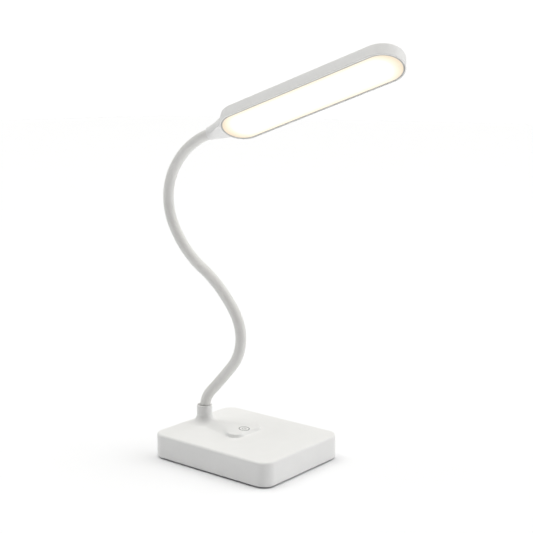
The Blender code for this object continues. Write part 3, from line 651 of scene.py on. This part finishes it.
# Each border point leaves along the surface: over the back and the underside straight outward, and
# from the sides round the end
outward = np.concatenate([out[border_column], np.zeros((len(border), 1))], 1)
round_end = np.stack([-out[border_column][:, 1], out[border_column][:, 0], 0 * border_column], -1)
round_end *= np.sign(END_STEPS / 2 - border_column + 1e-6)[:, None]
from_side = np.abs(border_column - END_STEPS / 2) / FLARE_HALF
side_share = smooth((from_side - 0.75) / 0.25)[:, None]
leaving = outward * (1 - side_share) + round_end * side_share
leaving /= np.linalg.norm(leaving, axis=1)[:, None]
BLOCK_MIDDLE, BLOCK_HALF_DEPTH, BLOCK_HALF_WIDTH = 0.1, 5.1, 12.0
mouth_turn = np.arctan2((border_points[:, 2] - BLOCK_MIDDLE) / BLOCK_HALF_DEPTH,
                        border_points[:, 1] / BLOCK_HALF_WIDTH)


def mouth_ring(radius, x):
    """A circle about the neck's line, each point at the angle of its border point in the block."""
    return np.stack([np.full(len(border), x), radius * np.cos(mouth_turn),
                     radius * np.sin(mouth_turn)], -1)


LEAVE, ARRIVE = 9.0, 12.0  # how far the flare keeps to the surface, and to the socket's line
ROUND = 0.5                # of the mouth's rim
mouth = mouth_ring(SOCKET_RADIUS, MOUTH + ROUND)
arriving = np.array([-1.0, 0.0, 0.0])


def flare_ring(t):
    """A ring of the flare, from the border at 0 to the mouth at 1: the cubic through both that leaves
    along the surface and arrives along the socket."""
    return ((2 * t ** 3 - 3 * t ** 2 + 1) * border_points + (t ** 3 - 2 * t ** 2 + t) * LEAVE * leaving
            + (3 * t ** 2 - 2 * t ** 3) * mouth + (t ** 3 - t ** 2) * ARRIVE * arriving)


socket_rings = [flare_ring(t) for t in np.linspace(0, 1, 25)[1:]]
socket_rings += [mouth_ring(radius, x) for radius, x in (
    (6.33, MOUTH + 0.2), (6.15, MOUTH + 0.04), (5.95, MOUTH), (5.75, MOUTH + 0.04), (5.57, MOUTH + 0.2),
    (SOCKET_BORE, MOUTH + ROUND), (SOCKET_BORE, 6.0), (SOCKET_BORE, SOCKET_FLOOR),
    (FERRULE_BORE, SOCKET_FLOOR), (FERRULE_BORE, FERRULE_END - 0.5), (CABLE_BORE, FERRULE_END - 0.5),
    (CABLE_BORE, FERRULE_END + 0.3))]

# The cable's hole opens through the inner end wall, by rings that stay on that wall's round
CABLE_HALF, CABLE_DEEP = 16, 8         # the inner block, with as many border points as the flare's
inner_first = len(back_loops) + len(back_edge) + len(walls) + len(lips) + 1
inner_last = inner_first + CABLE_DEEP
begin, finish_at = END_STEPS // 2 - CABLE_HALF, END_STEPS // 2 + CABLE_HALF
head_keep[inner_first:inner_last, begin:finish_at] = False
column, row = np.arange(begin, finish_at + 1), np.arange(inner_first, inner_last + 1)
inner_border = np.concatenate([head_index[inner_last, column[:-1]], head_index[row[:0:-1], finish_at],
                               head_index[inner_first, column[:0:-1]], head_index[row[:-1], begin]])
wall_radius = HEAD_HALF - LIP
border_angle = np.pi - facing[inner_border % columns]
border_height = head_points[inner_border][:, 2]
hole_angle = CABLE_BORE * np.cos(mouth_turn) / wall_radius
hole_height = CABLE_BORE * np.sin(mouth_turn)
for t in (0.0, 0.04, 0.15, 0.35, 0.65):
    angle = hole_angle * (1 - t) + border_angle * t
    socket_rings.append(np.stack([left_middle - wall_radius * np.cos(angle), wall_radius * np.sin(angle),
                                  hole_height * (1 - t) + border_height * t], -1))
count = len(border)
ring_at = len(head_points) + np.arange(len(socket_rings) * count).reshape(-1, count)
socket_quads = bridged(np.concatenate([border[None], ring_at, inner_border[None]])).reshape(-1, 4)
head_all = in_head(np.concatenate([head_points, *socket_rings]))
housing = add_piece("head_housing_moulded", head_all,
                    np.concatenate([head_quads[head_keep], socket_quads]), shell_abs, 38)
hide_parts("head_housing")
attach(housing, "head")

# ---------------------------------------------------------------------------------------------
# Reflector tray and LED board. The tray is pressed from glossy white sheet, and the board is
# aluminium with white resist. Both lie behind the diffuser and are hidden by it.

dress(finish("tray_white", (0.86, 0.86, 0.85), 0.3, 0.5, 0.004, 0.01), "reflector_tray")
dress(finish("led_resist", (0.84, 0.84, 0.82), 0.4, 0.4, 0.006, 0.02), "led_board")

# ---------------------------------------------------------------------------------------------
# Diffuser. A capsule of opal acrylic pressed into the housing's lip, lit from behind by the LEDs.
# It is whitest over the row of LEDs and goes to cream where the light travels furthest.

DIFFUSER_IN = 1.5          # its edge, from the head's outline
DIFFUSER_FACE, DIFFUSER_BACK = -6.8, -5.2
LED_HALF_ROW = 68.75
LED_FAR = 30.0             # the distance at which led_distance is 1
LED_FADED = 0.86           # the most that it is on the lit face
LIT_FROM = 2.5             # where its lit face starts, from the head's outline
GLOW = 1.0

fills = (HEAD_HALF, 17.0, 14.0, 11.5, 9.5, 8.0, 6.6, 5.4, 4.4, 3.5, 2.8, 2.3, 1.9)
opal_rounds = ([capsule_loop(i, DIFFUSER_FACE) for i in fills]
               + [capsule_loop(i, z) for i, z in ((1.62, -6.72), (DIFFUSER_IN, -6.55),
                                                  (DIFFUSER_IN, -5.3), (1.6, DIFFUSER_BACK))]
               + [capsule_loop(i, DIFFUSER_BACK) for i in (3.0, 8.0, 14.0, HEAD_HALF)])
opal_points = np.concatenate(opal_rounds)
opal_quads = bridged(np.arange(len(opal_points)).reshape(-1, columns))


def opal_finish():
    """Opal acrylic. The glow's colour follows the distance from the row of LEDs, which each vertex
    carries as the attribute led_distance, from 0 at the row. It is 1 on the narrow border next to the
    housing's wall, which isn't lit."""
    made = finish("opal_acrylic", (0.50, 0.49, 0.47), 0.42, 0.5, 0.004, 0.01)
    tree = made.node_tree
    shader = tree.nodes["Principled BSDF"]
    carried = tree.nodes.new("ShaderNodeAttribute")
    carried.attribute_name = "led_distance"
    warmth = tree.nodes.new("ShaderNodeValToRGB")
    ramp = warmth.color_ramp
    stops = ((0.0, (0.82, 0.82, 0.80)), (0.36, (0.72, 0.72, 0.68)), (0.6, (0.53, 0.49, 0.34)),
             (0.7, (0.50, 0.39, 0.22)), (0.8, (0.46, 0.31, 0.14)), (0.86, (0.40, 0.26, 0.11)),
             (0.92, (0.02, 0.02, 0.02)))
    for position, _ in stops[2:]:
        ramp.elements.new(position)
    for element, (position, colour) in zip(ramp.elements, stops):
        element.position = position
        element.color = (*colour, 1)
    tree.links.new(carried.outputs["Fac"], warmth.inputs["Fac"])
    tree.links.new(warmth.outputs["Color"], shader.inputs["Emission Color"])
    shader.inputs["Emission Strength"].default_value = GLOW
    return made


diffuser = add_piece("diffuser_opal", in_head(opal_points), opal_quads, opal_finish())
spots = np.empty(len(diffuser.data.vertices) * 3)
diffuser.data.vertices.foreach_get("co", spots)
local = (spots.reshape(-1, 3) / MM - last_joint) @ head_axes
row_middle = (left_middle + right_middle) / 2
past = np.maximum(np.abs(local[:, 0] - row_middle) - LED_HALF_ROW, 0)
distance = np.minimum(np.hypot(past, local[:, 1]) / LED_FAR, LED_FADED)
beyond = np.maximum(np.abs(local[:, 0] - row_middle) - middles / 2, 0)
distance[HEAD_HALF - np.hypot(beyond, local[:, 1]) < LIT_FROM] = 1.0
attribute = diffuser.data.attributes.new("led_distance", "FLOAT", "POINT")
attribute.data.foreach_set("value", distance.astype(np.float32))
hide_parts("diffuser")
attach(diffuser, "head")

# ---------------------------------------------------------------------------------------------
# Studio. A plain white floor, five soft boxes, the strongest overhead and the next on the right, and
# the camera. The sky itself is seen as plain white.

FLOOR_HALF = 9.0
floor_mesh = bpy.data.meshes.new("studio_floor")
floor_mesh.from_pydata([(-FLOOR_HALF, -FLOOR_HALF, 0), (FLOOR_HALF, -FLOOR_HALF, 0),
                        (FLOOR_HALF, FLOOR_HALF, 0), (-FLOOR_HALF, FLOOR_HALF, 0)], [], [(0, 1, 2, 3)])
floor = bpy.data.objects.new("studio_floor", floor_mesh)
bpy.context.scene.collection.objects.link(floor)
floor_mesh.materials.append(finish("floor_paper", (0.93, 0.935, 0.955), 0.9, 3.0, 0.02, 0.004))

# Each box's azimuth, elevation, strength, the cosines of the angle from its middle that it fades
# between, and its tint. A cosine over 1 is never reached, and only makes the fade softer.
SOFT_BOXES = ((184, 77, 4.0, 0.60, 1.26, (1.0, 0.99, 0.955)),
              (47, 35, 2.33, 0.60, 1.20, (1.0, 0.995, 0.98)),
              (47.6, 1, 0.76, 0.60, 1.13, (0.97, 0.98, 1.0)),
              (-137, 45, 0.80, 0.75, 1.25, (0.96, 0.98, 1.0)),
              (-165, 10, 0.75, 0.60, 1.20, (0.96, 0.98, 1.0)))
SKY_DIM = 0.005            # all round
SKY_SEEN = 1.05
sky = bpy.data.worlds.new("studio_sky")
bpy.context.scene.world = sky
sky.use_nodes = True
sky_tree = sky.node_tree
sky_tree.nodes.clear()
sky_place = sky_tree.nodes.new("ShaderNodeTexCoord")


def plain_sky(strength):
    """A white background of one strength."""
    made = sky_tree.nodes.new("ShaderNodeBackground")
    made.inputs["Color"].default_value = (1.0, 1.0, 1.0, 1)
    made.inputs["Strength"].default_value = strength
    return made


sky_light = plain_sky(SKY_DIM)
for azimuth, elevation, strength, fade_from, fade_to, tint in SOFT_BOXES:
    turn, rise = math.radians(azimuth), math.radians(elevation)
    toward = sky_tree.nodes.new("ShaderNodeVectorMath")
    toward.operation = "DOT_PRODUCT"
    toward.inputs[1].default_value = (math.cos(rise) * math.cos(turn), math.cos(rise) * math.sin(turn),
                                      math.sin(rise))
    fade = sky_tree.nodes.new("ShaderNodeMapRange")
    fade.interpolation_type = "SMOOTHSTEP"
    fade.inputs["From Min"].default_value = fade_from
    fade.inputs["From Max"].default_value = fade_to
    fade.inputs["To Max"].default_value = strength
    box = plain_sky(0.0)
    box.inputs["Color"].default_value = (*tint, 1)
    both = sky_tree.nodes.new("ShaderNodeAddShader")
    sky_tree.links.new(sky_place.outputs["Generated"], toward.inputs[0])
    sky_tree.links.new(toward.outputs["Value"], fade.inputs["Value"])
    sky_tree.links.new(fade.outputs["Result"], box.inputs["Strength"])
    sky_tree.links.new(sky_light.outputs[0], both.inputs[0])
    sky_tree.links.new(box.outputs[0], both.inputs[1])
    sky_light = both
sky_mix = sky_tree.nodes.new("ShaderNodeMixShader")
sky_path = sky_tree.nodes.new("ShaderNodeLightPath")
sky_out = sky_tree.nodes.new("ShaderNodeOutputWorld")
sky_tree.links.new(sky_path.outputs["Is Camera Ray"], sky_mix.inputs["Fac"])
sky_tree.links.new(sky_light.outputs[0], sky_mix.inputs[1])
sky_tree.links.new(plain_sky(SKY_SEEN).outputs[0], sky_mix.inputs[2])
sky_tree.links.new(sky_mix.outputs["Shader"], sky_out.inputs["Surface"])

CAMERA_PLACE = (0.62364, -0.73629, 0.34686)
CAMERA_AZIMUTH, CAMERA_FALL = 39.12, 9.59
LENS, SENSOR = 71.53, 36.0
camera_data = bpy.data.cameras.new("camera")
camera_data.lens = LENS
camera_data.sensor_width = SENSOR
camera_data.clip_end = 60.0
camera = bpy.data.objects.new("camera", camera_data)
camera.location = CAMERA_PLACE
camera.rotation_euler = (math.radians(90 - CAMERA_FALL), 0, math.radians(CAMERA_AZIMUTH))
bpy.context.scene.collection.objects.link(camera)
bpy.context.scene.camera = camera
bpy.context.scene.view_settings.view_transform = "Standard"
bpy.context.scene.view_settings.look = "None"
